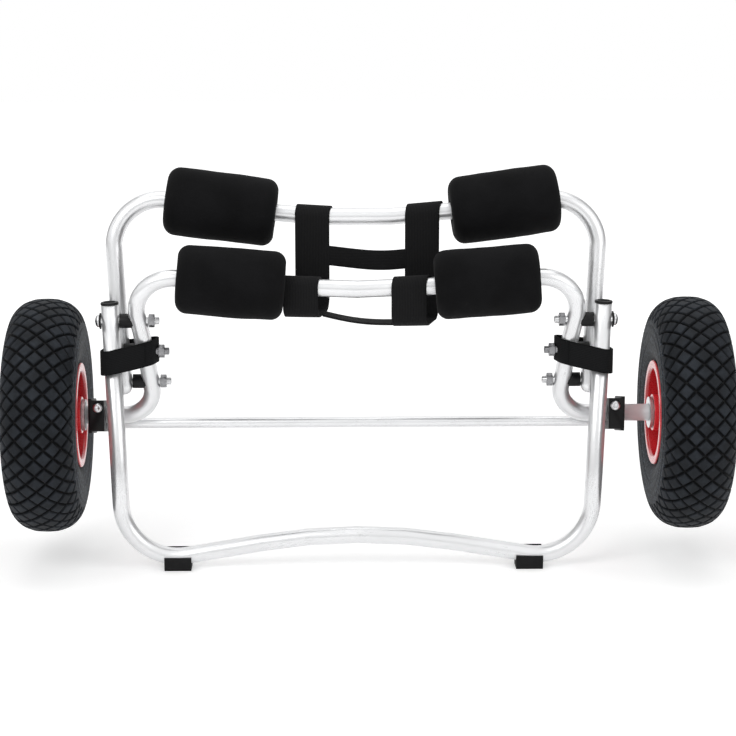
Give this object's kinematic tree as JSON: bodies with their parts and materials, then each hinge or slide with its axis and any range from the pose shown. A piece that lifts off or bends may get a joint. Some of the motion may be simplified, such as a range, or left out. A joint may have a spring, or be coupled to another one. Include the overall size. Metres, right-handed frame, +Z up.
{
  "type": "kayak cart",
  "caption": "Folding kayak cart of bent aluminium tube with foam-padded arms, webbing harness, pneumatic wheels and a swing-down kickstand loop.",
  "frame": {"origin": "on the floor, under the middle between the two wheels and under the axle", "axes": "+X to the right along the axle, +Y away from the viewer, +Z up"},
  "size_m": [0.796, 0.26, 0.4437],
  "materials": {
    "aluminium": "satin polished",
    "steel": "zinc plated",
    "red_paint": "gloss",
    "tyre": "matte",
    "rubber": "matte",
    "black_plastic": "satin",
    "foam": "matte foam skin",
    "webbing": "woven"
  },
  "bodies": {
    "frame": {"front_arm_tube": "aluminium", "front_pad_left": "foam", "front_pad_right": "foam", "cross_rod": "aluminium", "axle_clamp_left": "black_plastic", "axle_clamp_right": "black_plastic", "clamp_screw_left": "steel", "clamp_screw_right": "steel", "pivot_bolt_left": "steel", "pivot_bolt_right": "steel", "pivot_nut_left": "steel", "pivot_nut_right": "steel", "pivot_spacer_left": "black_plastic", "pivot_spacer_right": "black_plastic", "stop_bolt_left": "steel", "stop_bolt_right": "steel", "stop_nut_left": "steel", "stop_nut_right": "steel", "stop_bumper_left": "black_plastic", "stop_bumper_right": "black_plastic", "kickstand_bolt_left": "steel", "kickstand_bolt_right": "steel", "kickstand_nut_left": "steel", "kickstand_nut_right": "steel", "kickstand_washer_left": "black_plastic", "kickstand_washer_right": "black_plastic", "kickstand_spacer_left": "black_plastic", "kickstand_spacer_right": "black_plastic", "leg_strap_left": "webbing", "leg_strap_right": "webbing", "harness_belt_left": "webbing", "harness_belt_right": "webbing", "harness_rear_band": "webbing", "harness_front_band": "webbing", "wheel_left_washer_inner": "steel", "wheel_left_washer_outer": "steel", "wheel_left_pin": "steel", "wheel_right_washer_inner": "steel", "wheel_right_washer_outer": "steel", "wheel_right_pin": "steel"},
    "kickstand": {"kickstand_tube": "aluminium", "kickstand_cap_left": "black_plastic", "kickstand_cap_right": "black_plastic", "foot_left": "rubber", "foot_right": "rubber"},
    "rear_arm": {"rear_arm_tube": "aluminium", "rear_pad_left": "foam", "rear_pad_right": "foam"},
    "wheel_left": {"wheel_left_tyre": "tyre", "wheel_left_inner_tube": "rubber", "wheel_left_rim_inner": "red_paint", "wheel_left_rim_outer": "red_paint", "wheel_left_bearing_inner": "steel", "wheel_left_bearing_outer": "steel"},
    "wheel_right": {"wheel_right_tyre": "tyre", "wheel_right_inner_tube": "rubber", "wheel_right_rim_inner": "red_paint", "wheel_right_rim_outer": "red_paint", "wheel_right_bearing_inner": "steel", "wheel_right_bearing_outer": "steel"}
  },
  "joints": [
    {"name": "rear_arm_fold", "type": "hinge", "parent": "frame", "child": "rear_arm", "pos_m": [-0.0126, -0.01306, 0.2094], "axis": [-1, 0, 0], "range_deg": [0, 70], "deforming": ["harness_belt_left", "harness_belt_right", "harness_rear_band", "harness_front_band", "leg_strap_left", "leg_strap_right"]},
    {"name": "kickstand_swing", "type": "hinge", "parent": "frame", "child": "kickstand", "pos_m": [-0.0126, -0.036, 0.2814], "axis": [-1, 0, 0], "range_deg": [0, 60], "deforming": ["leg_strap_left", "leg_strap_right"]},
    {"name": "wheel_left_spin", "type": "hinge", "parent": "frame", "child": "wheel_left", "pos_m": [-0.3574, 0, 0.1684], "axis": [1, 0, 0], "continuous": true},
    {"name": "wheel_right_spin", "type": "hinge", "parent": "frame", "child": "wheel_right", "pos_m": [0.3574, 0, 0.1684], "axis": [1, 0, 0], "continuous": true}
  ]
}
